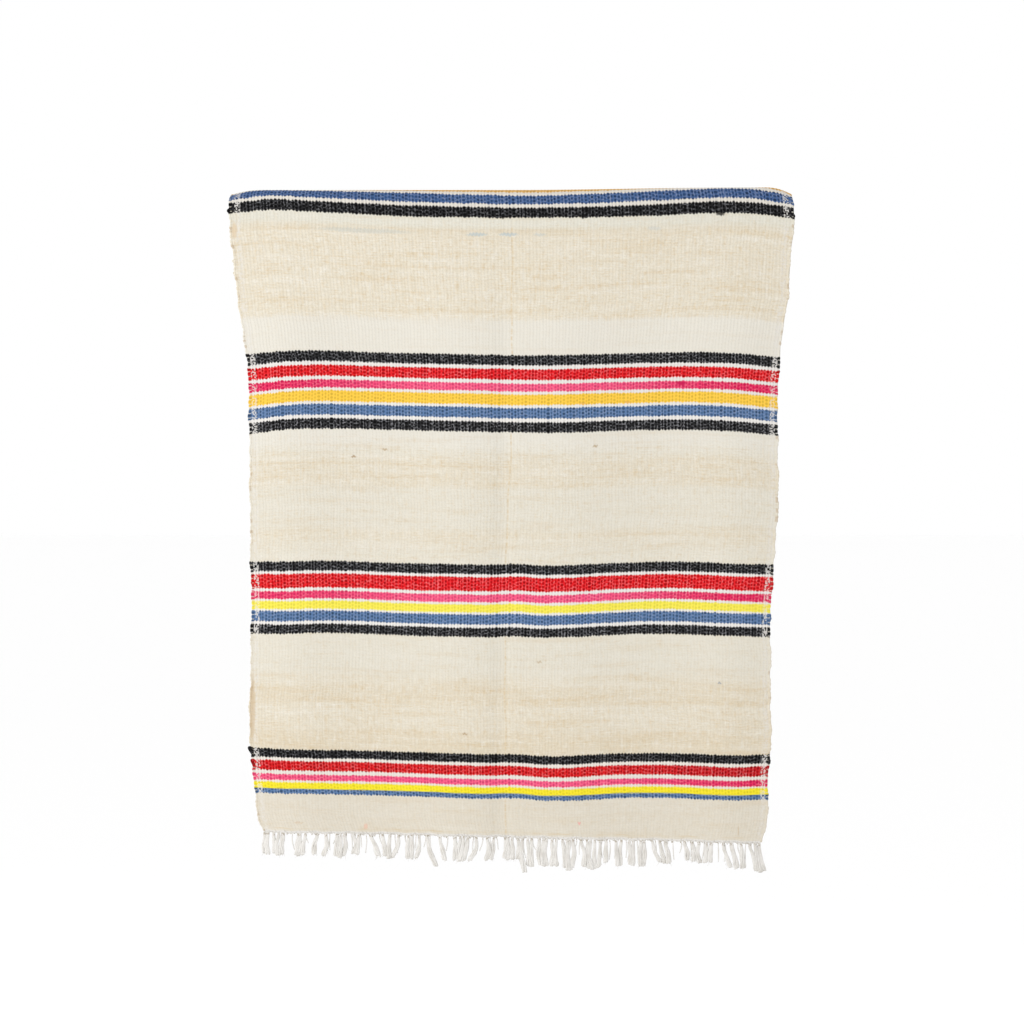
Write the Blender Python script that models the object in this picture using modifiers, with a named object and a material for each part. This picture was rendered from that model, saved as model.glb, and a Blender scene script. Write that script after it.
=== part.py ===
"""Berber rug: a striped wool flatweave hung folded over a rail, with a plied fringe at both ends.

Metres, +X to the right seen from the front, +Y to the back, +Z up. The origin is on the underside of the
fold, at mid width, where the top of a rail touches the cloth. The rug is one folded sheet: a fold over the
rail, a front drop and a slightly shorter back drop. Each end has a fringe on a narrow heading of its own.
"""
import math
from collections import namedtuple

import bmesh
import bpy
from mathutils import Vector

OBJECT_NAME = "berber rug"

# Cloth
THICKNESS = 0.003
RAIL_DIAMETER = 0.040            # clear room inside the fold
FOLD_RADIUS = RAIL_DIAMETER / 2 + THICKNESS / 2
FRONT_DROP = 1.488               # from the crest to the front hem, at mid width
BACK_DROP = 1.395
HEM_SLOPE = 0.013                # the front hem hangs this much lower at the right edge than at mid width
BACK_INSET = 0.014               # the back drop is narrower by this at each edge
ACROSS_FACES = 28
FRONT_FACES = 26
FOLD_FACES = 10
BACK_FACES = 15

# Edges of the hung cloth: the distance from the middle line to each edge, at a drop below the crest
Edge = namedtuple("Edge", "drop left right")
EDGES = (
    Edge(0.000, 0.645, 0.646),
    Edge(0.033, 0.648, 0.650),
    Edge(0.098, 0.646, 0.648),
    Edge(0.158, 0.637, 0.642),
    Edge(0.259, 0.628, 0.635),
    Edge(0.351, 0.612, 0.621),
    Edge(0.443, 0.603, 0.614),
    Edge(0.581, 0.601, 0.612),
    Edge(0.673, 0.600, 0.615),
    Edge(0.857, 0.598, 0.605),
    Edge(0.949, 0.596, 0.597),
    Edge(1.133, 0.599, 0.596),
    Edge(1.271, 0.600, 0.597),
    Edge(1.363, 0.589, 0.590),
    Edge(1.455, 0.579, 0.588),
    Edge(1.500, 0.554, 0.575),
)

# Soft upright folds: each stands out from the plumb cloth by its swell, and drifts sideways as it comes down
Wave = namedtuple("Wave", "side across half_width swell drift")
WAVES = (
    Wave("front", -0.520, 0.090, 0.010, 0.020),
    Wave("front", -0.290, 0.120, -0.006, 0.010),
    Wave("front", -0.110, 0.080, 0.006, 0.000),
    Wave("front", -0.010, 0.024, -0.004, -0.010),
    Wave("front", 0.120, 0.090, 0.005, 0.010),
    Wave("front", 0.330, 0.110, -0.005, 0.000),
    Wave("front", 0.530, 0.080, 0.009, -0.020),
    Wave("back", -0.420, 0.150, 0.010, 0.000),
    Wave("back", -0.060, 0.130, -0.006, 0.015),
    Wave("back", 0.300, 0.160, 0.011, 0.000),
)
WAVE_START = 0.040               # the waves grow from nothing at this drop
WAVE_FULL = 0.420                # to their full swell at this one
CREST_RISE = 0.006               # the fold rides up on the right
FADE_DROP = 0.260                # droop and rise have faded out at this drop

# The fold droops past the rail's ends: from that far out, by its curl for each square metre of distance
Droop = namedtuple("Droop", "reach curl")
LEFT_DROOP = Droop(0.577, 2.45)
RIGHT_DROOP = Droop(0.590, 5.0)

# Fringe
HEADING_GAP = 0.0004
HEADING_HEIGHT = 0.004
STRAND_WIDTH = 0.0066
STRAND_DEPTH = 0.0048
STRAND_STEPS = 3
TIP_SCALE = 0.80                 # width of a strand's end beside its root
BACK_STRANDS = 73
BACK_STRAND_LENGTH = 0.060

# Bundles of the front fringe: place of the bundle's middle from the rug's middle, the pitch of its strands at
# the root and at the tip, how far the tips lean to the right, and the hanging length
Bundle = namedtuple("Bundle", "middle strands root_pitch tip_pitch lean length")
BUNDLES = (
    Bundle(-0.561, 2, 0.0090, 0.0090, -0.002, 0.055),
    Bundle(-0.535, 3, 0.0100, 0.0080, -0.002, 0.055),
    Bundle(-0.483, 3, 0.0090, 0.0085, -0.001, 0.055),
    Bundle(-0.448, 1, 0.0000, 0.0000, -0.009, 0.052),
    Bundle(-0.428, 1, 0.0000, 0.0000, -0.005, 0.052),
    Bundle(-0.396, 3, 0.0100, 0.0095, -0.001, 0.057),
    Bundle(-0.359, 2, 0.0130, 0.0080, -0.001, 0.050),
    Bundle(-0.327, 1, 0.0000, 0.0000, 0.020, 0.053),
    Bundle(-0.281, 3, 0.0190, 0.0085, -0.004, 0.058),
    Bundle(-0.228, 3, 0.0110, 0.0100, 0.000, 0.058),
    Bundle(-0.198, 1, 0.0000, 0.0000, 0.021, 0.074),
    Bundle(-0.166, 1, 0.0000, 0.0000, 0.011, 0.057),
    Bundle(-0.117, 4, 0.0090, 0.0080, 0.000, 0.061),
    Bundle(-0.080, 1, 0.0000, 0.0000, -0.015, 0.057),
    Bundle(-0.046, 2, 0.0180, 0.0100, -0.006, 0.056),
    Bundle(-0.005, 4, 0.0090, 0.0082, 0.000, 0.055),
    Bundle(0.019, 1, 0.0000, 0.0000, 0.006, 0.080),
    Bundle(0.038, 2, 0.0090, 0.0080, 0.001, 0.069),
    Bundle(0.069, 3, 0.0090, 0.0080, 0.000, 0.068),
    Bundle(0.096, 2, 0.0090, 0.0090, 0.000, 0.066),
    Bundle(0.126, 4, 0.0090, 0.0080, 0.002, 0.075),
    Bundle(0.178, 5, 0.0105, 0.0080, 0.002, 0.072),
    Bundle(0.214, 1, 0.0000, 0.0000, 0.000, 0.055),
    Bundle(0.244, 2, 0.0140, 0.0080, 0.000, 0.064),
    Bundle(0.273, 2, 0.0110, 0.0080, 0.001, 0.061),
    Bundle(0.299, 2, 0.0090, 0.0080, -0.001, 0.063),
    Bundle(0.336, 3, 0.0160, 0.0110, 0.014, 0.056),
    Bundle(0.430, 5, 0.0160, 0.0130, 0.003, 0.051),
    Bundle(0.508, 3, 0.0200, 0.0140, 0.018, 0.062),
    Bundle(0.559, 3, 0.0120, 0.0105, 0.014, 0.068),
)

# Materials: base colour, roughness
WOOL_CREAM = (0.80, 0.74, 0.63)
COTTON_WHITE = (0.76, 0.73, 0.68)
WOOL_ROUGHNESS = 0.93


def clear_scene():
    for thing in list(bpy.data.objects):
        bpy.data.objects.remove(thing, do_unlink=True)


def wool_material(name, colour):
    material = bpy.data.materials.new(name)
    material.use_nodes = True
    shader = material.node_tree.nodes["Principled BSDF"]
    shader.inputs["Base Color"].default_value = (*colour, 1.0)
    shader.inputs["Roughness"].default_value = WOOL_ROUGHNESS
    shader.inputs["Metallic"].default_value = 0.0
    return material


def smooth_step(value, low, high):
    share = min(max((value - low) / (high - low), 0.0), 1.0)
    return share * share * (3.0 - 2.0 * share)


def edge_at(drop, column):
    """Reads one column of EDGES at any drop, on a smooth curve through its rows."""
    rows = EDGES
    last = len(rows) - 1
    place = min(max(drop, rows[0].drop), rows[last].drop)
    index = max(i for i in range(last) if rows[i].drop <= place)

    def slope(i):
        before = rows[max(i - 1, 0)]
        after = rows[min(i + 1, last)]
        return (getattr(after, column) - getattr(before, column)) / (after.drop - before.drop)

    span = rows[index + 1].drop - rows[index].drop
    share = (place - rows[index].drop) / span
    start = getattr(rows[index], column)
    end = getattr(rows[index + 1], column)
    ease = share * share * (3.0 - 2.0 * share)
    bend_start = share * (1.0 - share) ** 2 * span * slope(index)
    bend_end = share ** 2 * (share - 1.0) * span * slope(index + 1)
    return start + (end - start) * ease + bend_start + bend_end


def swell_at(side, x, drop):
    """How far the cloth stands out from plumb at one place of the front or back drop."""
    total = 0.0
    for wave in WAVES:
        if wave.side == side:
            offset = (x - wave.across - wave.drift * drop) / wave.half_width
            total += wave.swell * math.exp(-offset * offset)
    return total * smooth_step(drop, WAVE_START, WAVE_FULL)


def end_lift(across, x, drop):
    """How far the crest's rise and its drooping ends lift the cloth."""
    left = LEFT_DROOP.curl * max(-x - LEFT_DROOP.reach, 0.0) ** 2
    right = RIGHT_DROOP.curl * max(x - RIGHT_DROOP.reach, 0.0) ** 2
    rise = CREST_RISE * smooth_step(across, 0.0, 0.85) - left - right
    return rise * (1.0 - smooth_step(drop, 0.0, FADE_DROP))


def hung_point(across, along):
    """A point of the cloth's middle surface: across is -1 to 1 from edge to edge, along is the distance from
    the crest down the front, or down the back where it is negative."""
    side = "front" if along >= 0.0 else "back"
    quarter = FOLD_RADIUS * math.pi / 2
    turn = min(abs(along), quarter) / FOLD_RADIUS
    drop = FOLD_RADIUS * (1.0 - math.cos(turn)) + max(abs(along) - quarter, 0.0)
    depth = FOLD_RADIUS * math.sin(turn)
    left = edge_at(drop, "left")
    right = edge_at(drop, "right")
    if side == "back":
        inset = BACK_INSET * smooth_step(drop, 0.0, FADE_DROP)
        left -= inset
        right -= inset
    x = (right - left) / 2 + across * (right + left) / 2
    depth += swell_at(side, x, drop)
    z = THICKNESS / 2 - drop + end_lift(across, x, drop)
    return Vector((x, -depth if side == "front" else depth, z))


def along_at_hem(side, across):
    """Distance along the cloth from the crest to the hem, negative at the back."""
    bend_slack = FOLD_RADIUS * (math.pi / 2 - 1.0)
    if side == "front":
        return FRONT_DROP + HEM_SLOPE * across + bend_slack
    return -(BACK_DROP + bend_slack)


def row_places(across):
    """Distances along the cloth of the rows of faces, from the back hem to the front hem."""
    quarter = FOLD_RADIUS * math.pi / 2
    back = along_at_hem("back", across)
    front = along_at_hem("front", across)
    places = [back + (-quarter - back) * i / BACK_FACES for i in range(BACK_FACES)]
    places += [-quarter + 2 * quarter * i / FOLD_FACES for i in range(FOLD_FACES)]
    places += [quarter + (front - quarter) * i / FRONT_FACES for i in range(FRONT_FACES + 1)]
    return places


def add_object(name, mesh, material, collection):
    thing = bpy.data.objects.new(name, mesh)
    mesh.materials.append(material)
    collection.objects.link(thing)
    return thing


def thicken(thing, thickness):
    wall = thing.modifiers.new("Thickness", "SOLIDIFY")
    wall.thickness = thickness
    wall.offset = 0.0
    wall.use_even_offset = True
    wall.use_rim = True


def make_cloth(collection):
    """One sheet, laid over the rail from the back hem to the front hem."""
    row_count = BACK_FACES + FOLD_FACES + FRONT_FACES
    shape = bmesh.new()
    bmesh.ops.create_grid(shape, x_segments=ACROSS_FACES, y_segments=row_count, size=1.0)
    for vertex in shape.verts:
        across = vertex.co.x
        row = round((vertex.co.y + 1.0) / 2.0 * row_count)
        vertex.co = hung_point(across, row_places(across)[row])
    bmesh.ops.recalc_face_normals(shape, faces=shape.faces)
    mesh = bpy.data.meshes.new("rug cloth")
    shape.to_mesh(mesh)
    shape.free()
    mesh.shade_smooth()
    cloth = add_object("rug_cloth", mesh, wool_material("Cream wool weave", WOOL_CREAM), collection)
    thicken(cloth, THICKNESS)
    return cloth


def front_strands():
    """Root place, tip place and length of every strand of the front fringe, left to right."""
    strands = []
    for bundle in BUNDLES:
        for number in range(bundle.strands):
            offset = number - (bundle.strands - 1) / 2
            root = bundle.middle + offset * bundle.root_pitch
            tip = bundle.middle + bundle.lean + offset * bundle.tip_pitch
            length = bundle.length * (1.0 - 0.05 * abs(offset))
            strands.append((root, tip, length))
    return strands


def back_strands(half_width):
    """The back fringe: evenly spread strands that sway a little."""
    pitch = 2 * (half_width - STRAND_WIDTH) / (BACK_STRANDS - 1)
    strands = []
    for number in range(BACK_STRANDS):
        root = -half_width + STRAND_WIDTH + number * pitch
        sway = 0.004 * math.sin(number * 0.9)
        length = BACK_STRAND_LENGTH * (1.0 + 0.08 * math.sin(number * 2.3))
        strands.append((root, root + sway, length))
    return strands


def across_at(side, x):
    """The share of the width, -1 to 1, at which the hem passes x."""
    low = hung_point(-1.0, along_at_hem(side, -1.0)).x
    high = hung_point(1.0, along_at_hem(side, 1.0)).x
    return (x - low) / (high - low) * 2.0 - 1.0


def heading_columns(side, strands):
    """Places of the upright lines of a heading: both ends of the hem and both sides of each strand."""
    ends = [hung_point(share, along_at_hem(side, share)).x for share in (-1.0, 1.0)]
    columns = [ends[0]]
    for root, _tip, _length in strands:
        columns += [root - STRAND_WIDTH / 2, root + STRAND_WIDTH / 2]
    return columns + [ends[1]]


def make_fringe(name, side, strands, collection):
    """A narrow heading just below the hem, with the strands drawn down from its lower edge."""
    columns = heading_columns(side, strands)
    shape = bmesh.new()
    bmesh.ops.create_grid(shape, x_segments=len(columns) - 1, y_segments=1, size=1.0)
    shape.verts.ensure_lookup_table()
    outward = 1.0 if side == "front" else -1.0
    for vertex in shape.verts:
        column = round((vertex.co.x + 1.0) / 2.0 * (len(columns) - 1))
        across = across_at(side, columns[column])
        top = hung_point(across, along_at_hem(side, across))
        below = HEADING_GAP if vertex.co.y > 0.0 else HEADING_GAP + HEADING_HEIGHT
        vertex.co = Vector((columns[column], top.y, top.z - below))

    lower_edges = [edge for edge in shape.edges if len(edge.link_faces) == 1]
    for root, tip, length in strands:
        start = [edge for edge in lower_edges if is_root(edge, root)]
        for step in range(1, STRAND_STEPS + 1):
            grown = bmesh.ops.extrude_edge_only(shape, edges=start)["geom"]
            start = [part for part in grown if isinstance(part, bmesh.types.BMEdge)]
            corners = [part for part in grown if isinstance(part, bmesh.types.BMVert)]
            move_strand_end(corners, root, tip, length, step, outward)

    bmesh.ops.recalc_face_normals(shape, faces=shape.faces)
    mesh = bpy.data.meshes.new(name)
    shape.to_mesh(mesh)
    shape.free()
    fringe = add_object(name, mesh, wool_material(name + " cotton", COTTON_WHITE), collection)
    thicken(fringe, STRAND_DEPTH)
    return fringe


def is_root(edge, root):
    """Whether an edge is the lower side of the heading between one strand's two columns."""
    start, end = edge.verts
    middle = (start.co + end.co) / 2
    level = abs(start.co.x - end.co.x) > STRAND_WIDTH / 2
    lower = middle.z < edge.link_faces[0].calc_center_median().z
    return level and lower and abs(middle.x - root) < STRAND_WIDTH / 4


def move_strand_end(corners, root, tip, length, step, outward):
    """Draws the newest end of a strand down to its next step, leaning and narrowing as it goes."""
    share = step / STRAND_STEPS
    before = (step - 1) / STRAND_STEPS
    middle = sum((corner.co for corner in corners), Vector()) / len(corners)
    lean = (tip - root) * (share ** 1.4 - before ** 1.4)
    narrow = (1.0 - (1.0 - TIP_SCALE) * share) / (1.0 - (1.0 - TIP_SCALE) * before)
    fall = length / STRAND_STEPS
    sway = 0.0015 * outward * (math.sin(root * 90.0 + 2.0 * share) - math.sin(root * 90.0 + 2.0 * before))
    for corner in corners:
        corner.co.x = middle.x + (corner.co.x - middle.x) * narrow + lean
        corner.co.y += sway
        corner.co.z -= fall


def main():
    clear_scene()
    collection = bpy.data.collections.new(OBJECT_NAME)
    bpy.context.scene.collection.children.link(collection)
    make_cloth(collection)
    make_fringe("front_fringe", "front", front_strands(), collection)
    back_half_width = min(edge_at(BACK_DROP, "left"), edge_at(BACK_DROP, "right")) - BACK_INSET
    make_fringe("back_fringe", "back", back_strands(back_half_width), collection)


main()
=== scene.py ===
"""Berber rug hung folded over a rail: woven stripes, upright ribs, corded selvedges and soft fringes."""
import math
import random
from collections import namedtuple

import bpy
import numpy as np
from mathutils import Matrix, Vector, kdtree


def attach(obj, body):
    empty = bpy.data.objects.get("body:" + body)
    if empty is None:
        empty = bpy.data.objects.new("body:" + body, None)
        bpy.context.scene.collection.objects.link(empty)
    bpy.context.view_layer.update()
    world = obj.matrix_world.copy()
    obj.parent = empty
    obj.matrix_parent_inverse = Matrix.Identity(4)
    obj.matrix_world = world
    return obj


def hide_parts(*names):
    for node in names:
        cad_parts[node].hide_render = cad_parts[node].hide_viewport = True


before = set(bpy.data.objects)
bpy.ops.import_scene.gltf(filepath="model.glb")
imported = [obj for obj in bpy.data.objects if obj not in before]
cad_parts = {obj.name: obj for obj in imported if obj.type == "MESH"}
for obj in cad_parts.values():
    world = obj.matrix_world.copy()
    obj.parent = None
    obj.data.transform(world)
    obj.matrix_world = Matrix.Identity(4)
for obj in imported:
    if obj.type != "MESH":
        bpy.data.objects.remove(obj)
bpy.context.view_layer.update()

# Sizes of the hung cloth, in metres, as in the solids
THICKNESS = 0.003
FOLD_RADIUS = 0.0215
FRONT_DROP = 1.488
BACK_DROP = 1.395
HEM_SLOPE = 0.013
BACK_INSET = 0.014
QUARTER_TURN = FOLD_RADIUS * math.pi / 2
BEND_SLACK = QUARTER_TURN - FOLD_RADIUS
WAVE_START = 0.040
WAVE_FULL = 0.420
CREST_RISE = 0.006
FADE_DROP = 0.260

# The crest droops past the rail's ends: from that far out, by that many metres a square metre of distance
Droop = namedtuple("Droop", "reach curl")
LEFT_DROOP = Droop(0.577, 2.45)
RIGHT_DROOP = Droop(0.590, 5.0)

# Distance from the middle line to each edge, at a drop below the crest
Edge = namedtuple("Edge", "drop left right")
EDGES = (
    Edge(0.000, 0.645, 0.646),
    Edge(0.033, 0.648, 0.650),
    Edge(0.098, 0.646, 0.648),
    Edge(0.158, 0.637, 0.642),
    Edge(0.259, 0.628, 0.635),
    Edge(0.351, 0.612, 0.621),
    Edge(0.443, 0.603, 0.614),
    Edge(0.581, 0.601, 0.612),
    Edge(0.673, 0.600, 0.615),
    Edge(0.857, 0.598, 0.605),
    Edge(0.949, 0.596, 0.597),
    Edge(1.133, 0.599, 0.596),
    Edge(1.271, 0.600, 0.597),
    Edge(1.363, 0.589, 0.590),
    Edge(1.455, 0.579, 0.588),
    Edge(1.500, 0.554, 0.575),
)

# Soft upright folds of the hung cloth
Wave = namedtuple("Wave", "side across half_width swell drift")
WAVES = (
    Wave("front", -0.520, 0.090, 0.010, 0.020),
    Wave("front", -0.290, 0.120, -0.006, 0.010),
    Wave("front", -0.110, 0.080, 0.006, 0.000),
    Wave("front", -0.010, 0.024, -0.004, -0.010),
    Wave("front", 0.120, 0.090, 0.005, 0.010),
    Wave("front", 0.330, 0.110, -0.005, 0.000),
    Wave("front", 0.530, 0.080, 0.009, -0.020),
    Wave("back", -0.420, 0.150, 0.010, 0.000),
    Wave("back", -0.060, 0.130, -0.006, 0.015),
    Wave("back", 0.300, 0.160, 0.011, 0.000),
)

# How much lower than straight a woven row hangs, at places across the cloth from edge to edge
SAG_ACROSS = (-1.0, -0.85, -0.7, -0.4, -0.1, 0.13, 0.5, 0.68, 0.85, 1.0)
Sag = namedtuple("Sag", "along low_by")
SAGS = (
    Sag(-0.600, (0.000, -0.004, -0.006, -0.002, 0.001, 0.000, -0.003, -0.006, -0.004, 0.001)),
    Sag(0.035, (-0.010, -0.019, -0.015, -0.007, -0.001, 0.000, -0.009, -0.014, -0.014, 0.001)),
    Sag(0.066, (-0.011, -0.017, -0.013, -0.004, 0.000, 0.000, -0.004, -0.010, -0.009, 0.002)),
    Sag(0.530, (0.003, -0.006, -0.009, -0.005, -0.001, 0.001, -0.005, -0.006, -0.001, 0.007)),
    Sag(1.010, (-0.008, -0.007, -0.009, -0.002, 0.001, 0.003, -0.006, -0.006, -0.002, 0.000)),
    Sag(1.380, (-0.014, -0.011, -0.009, -0.004, 0.001, 0.006, -0.001, 0.001, 0.004, 0.002)),
)

# The rows rise over a crease near the middle, in the front drop's lower part
CREASE_RISE = 0.0034
CREASE_ACROSS = 0.022
CREASE_HALF_WIDTH = 0.070

# Weave
RIBS = 164
COLUMNS_PER_RIB = 4
RIB_THICKNESS = (0.0, 0.8, 1.0, 0.8)      # share of the full thickness over one rib, from furrow to furrow
THIN_SHARE = 0.78                          # thickness in a furrow beside that on a ridge
BACK_ROWS = 21
FOLD_ROWS = 12
FRONT_ROWS = 39
HEM_ROW = 0.004                            # a narrow row of the mesh beside each hem
RIB_WANDER = 1.1                           # how unevenly the stitches' columns stand, in ribs
PICK = 0.0080                              # height of one stitch of weft on its rib, in metres
TUFT = 0.0028                              # height of one tuft of wool
TOOTH = 0.0024                             # how far a colour's edge steps from furrow to ridge
TOOTH_JITTER = 0.0016                      # how uneven these steps are
ROW_WANDER = 0.0040                        # how far the woven rows wander up and down
LOOP_PITCH = 0.0105                        # weft turns along the selvedge
SPECK = 0.0028                             # one speck of bare warp beside the selvedge
SPECK_STEP = 0.002                         # how much higher the specks of each next column lie
MEAN_HALF_WIDTH = 0.61                     # of the hanging cloth


def curve_through(place, knots, values):
    """Reads a smooth curve through the points (knots, values) at each place."""
    knots = np.asarray(knots, float)
    values = np.asarray(values, float)
    place = np.clip(place, knots[0], knots[-1])
    index = np.clip(np.searchsorted(knots, place, side="right") - 1, 0, len(knots) - 2)
    slope = np.empty_like(values)
    slope[1:-1] = (values[2:] - values[:-2]) / (knots[2:] - knots[:-2])
    slope[0] = (values[1] - values[0]) / (knots[1] - knots[0])
    slope[-1] = (values[-1] - values[-2]) / (knots[-1] - knots[-2])
    span = knots[index + 1] - knots[index]
    share = (place - knots[index]) / span
    rest = 1.0 - share
    start = values[index] * (1.0 + 2.0 * share) * rest ** 2 + slope[index] * span * share * rest ** 2
    end = values[index + 1] * share ** 2 * (3.0 - 2.0 * share) - slope[index + 1] * span * share ** 2 * rest
    return start + end


def smooth_step(value, low, high):
    share = np.clip((value - low) / (high - low), 0.0, 1.0)
    return share * share * (3.0 - 2.0 * share)


def edge_at(drop, column):
    return curve_through(drop, [row.drop for row in EDGES], [getattr(row, column) for row in EDGES])


def swell_at(front, x, drop):
    """How far the cloth stands out from plumb."""
    total = np.zeros_like(x)
    for wave in WAVES:
        offset = (x - wave.across - wave.drift * drop) / wave.half_width
        here = front if wave.side == "front" else ~front
        total += np.where(here, wave.swell * np.exp(-offset * offset), 0.0)
    return total * smooth_step(drop, WAVE_START, WAVE_FULL)


def edge_wobble(along, side):
    """The small unevenness of a selvedge; side is -1 at the left and 1 at the right."""
    turn = 2.0 * math.pi * along
    wobble = 0.0011 * np.sin(turn / 0.083 + side) + 0.0008 * np.sin(turn / 0.037 + 2.0 * side)
    return wobble + 0.0009 * np.sin(turn / 0.171 - side)


def half_widths(drop, along, front):
    """The cloth's reach to the left and to the right of the middle line."""
    inset = np.where(front, 0.0, BACK_INSET * smooth_step(drop, 0.0, FADE_DROP))
    left = edge_at(drop, "left") - inset + edge_wobble(along, -1)
    right = edge_at(drop, "right") - inset + edge_wobble(along, 1)
    return left, right


def end_lift(across, x, drop):
    """How far the crest's rise and its drooping ends lift the cloth."""
    left = LEFT_DROOP.curl * np.maximum(-x - LEFT_DROOP.reach, 0.0) ** 2
    right = RIGHT_DROOP.curl * np.maximum(x - RIGHT_DROOP.reach, 0.0) ** 2
    rise = CREST_RISE * smooth_step(across, 0.0, 0.85) - left - right
    return rise * (1.0 - smooth_step(drop, 0.0, FADE_DROP))


def drop_at(along):
    """Height lost from the crest at a distance along the cloth, over the fold and down."""
    turn = np.minimum(np.abs(along), QUARTER_TURN) / FOLD_RADIUS
    return FOLD_RADIUS * (1.0 - np.cos(turn)) + np.maximum(np.abs(along) - QUARTER_TURN, 0.0)


def hung_points(across, along):
    """Points of the cloth's middle surface. across is -1 to 1 from edge to edge, along is the distance from
    the crest down the front, or down the back where it is negative."""
    across, along = np.broadcast_arrays(np.asarray(across, float), np.asarray(along, float))
    front = along >= 0.0
    turn = np.minimum(np.abs(along), QUARTER_TURN) / FOLD_RADIUS
    drop = drop_at(along)
    left, right = half_widths(drop, along, front)
    x = (right - left) / 2 + across * (right + left) / 2
    depth = FOLD_RADIUS * np.sin(turn) + swell_at(front, x, drop)
    z = THICKNESS / 2 - drop + end_lift(across, x, drop)
    return np.stack([x, np.where(front, -depth, depth), z], axis=-1)


def hem_along(side, across):
    wave = 0.0008 * np.sin(41.0 * across + 0.6) + 0.0006 * np.sin(97.0 * across)
    if side == "front":
        return FRONT_DROP + HEM_SLOPE * across + BEND_SLACK + wave
    return -(BACK_DROP + BEND_SLACK) + wave


def sag_at(across, along):
    """How much lower than straight the woven row hangs there."""
    rows = np.stack([curve_through(across, SAG_ACROSS, sag.low_by) for sag in SAGS])
    places = [sag.along for sag in SAGS]
    place = np.clip(along, places[0], places[-1])
    index = np.clip(np.searchsorted(places, place, side="right") - 1, 0, len(places) - 2)
    low = np.take(places, index)
    high = np.take(places, index + 1)
    share = smooth_step(place, low, high)
    upper = np.take_along_axis(rows, index[None], axis=0)[0]
    lower = np.take_along_axis(rows, index[None] + 1, axis=0)[0]
    beside_crease = (across - CREASE_ACROSS) / CREASE_HALF_WIDTH
    rise = CREASE_RISE * np.exp(-beside_crease ** 2) * smooth_step(along, 0.5, 0.9)
    return upper + (lower - upper) * share - rise


def woven_row(points, across, along):
    """The row of the weave at each point, as its distance along the cloth from the crest at mid width."""
    lift = end_lift(across, points[..., 0], drop_at(along))
    return along - lift * smooth_step(along, 0.0, QUARTER_TURN) - sag_at(across, along)


def edge_distance(across):
    """Distance from the nearer selvedge, near enough for the weave's edge stitches."""
    return (1.0 - np.abs(across)) * MEAN_HALF_WIDTH


def hem_distance(across, along):
    return np.minimum(hem_along("front", across) - along, along - hem_along("back", across))


def vertex_places(mesh):
    places = np.empty(len(mesh.vertices) * 3)
    mesh.vertices.foreach_get("co", places)
    return places.reshape(-1, 3)


def set_weave(mesh, rib, row, edge):
    """Stores where each point lies in the weave: rib number, woven row, distance from the selvedge."""
    values = np.stack([rib, row, edge], axis=-1).astype(np.float32)
    weave = mesh.attributes.new("weave", "FLOAT_VECTOR", "POINT")
    weave.data.foreach_set("vector", values.ravel())


def set_hem(mesh, distance):
    """Stores each point's distance from the nearer hem."""
    hem = mesh.attributes.new("hem", "FLOAT", "POINT")
    hem.data.foreach_set("value", np.asarray(distance, np.float32))


# Colours as they look in the photo's light, red, green and blue of 255, and what that light adds
LIGHT = 1.265


def dye(red, green, blue):
    """The surface colour that looks like this in the studio's light."""
    shares = [value / 255.0 for value in (red, green, blue)]
    linear = [share / 12.92 if share <= 0.04045 else ((share + 0.055) / 1.055) ** 2.4 for share in shares]
    return tuple(value / LIGHT for value in linear)


JET = dye(2, 2, 3)
BLACK = dye(8, 8, 9)
RED = dye(208, 14, 22)
OLD_RED = dye(199, 10, 16)
DEEP_RED = dye(182, 10, 20)
PINK = dye(236, 80, 124)
DEEP_PINK = dye(220, 34, 88)
ORANGE = dye(244, 198, 70)
WORN_ORANGE = dye(216, 170, 96)
LEMON = dye(243, 229, 84)
BRIGHT_LEMON = dye(243, 225, 48)
BLUE = dye(78, 107, 146)
DEEP_BLUE = dye(56, 84, 128)
GAP_WHITE = dye(234, 230, 225)
GAP_CREAM = dye(232, 225, 216)
GAP_GREY = dye(226, 220, 210)
GLINT = dye(226, 226, 232)
LIGHT_CREAM = dye(237, 232, 220)
PALE_GREIGE = dye(230, 226, 212)
CREAM = dye(233, 227, 212)
TAN_CREAM = dye(231, 222, 203)
DEEP_CREAM = dye(227, 215, 192)
GREIGE = dye(229, 221, 205)
SLUB_TAN = dye(219, 197, 160)
SLUB_LIGHT = dye(242, 237, 226)
TAN = dye(198, 176, 148)
COTTON = dye(244, 241, 236)
COTTON_SHADE = dye(230, 226, 219)
ROOT_SHADE = dye(190, 180, 164)
HEM_SHADOW = dye(172, 158, 138)

# Woven stripes of each set, from the crest down: colour, width and the pale gap after it, in metres
Stripe = namedtuple("Stripe", "colour width gap")
WIDE_SET = (
    Stripe(BLACK, 0.0230, 0.0090),
    Stripe(RED, 0.0245, 0.0088),
    Stripe(PINK, 0.0177, 0.0069),
    Stripe(ORANGE, 0.0244, 0.0069),
    Stripe(BLUE, 0.0239, 0.0088),
    Stripe(BLACK, 0.0234, 0.0),
)
LEMON_SET = (
    Stripe(BLACK, 0.0214, 0.0070),
    Stripe(RED, 0.0321, 0.0077),
    Stripe(PINK, 0.0172, 0.0057),
    Stripe(LEMON, 0.0179, 0.0050),
    Stripe(BLUE, 0.0228, 0.0078),
    Stripe(BLACK, 0.0206, 0.0),
)
END_SET = (
    Stripe(JET, 0.0192, 0.0076),
    Stripe(OLD_RED, 0.0218, 0.0091),
    Stripe(PINK, 0.0133, 0.0052),
    Stripe(BRIGHT_LEMON, 0.0146, 0.0),
    Stripe(BLUE, 0.0112, 0.0),
)
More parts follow.
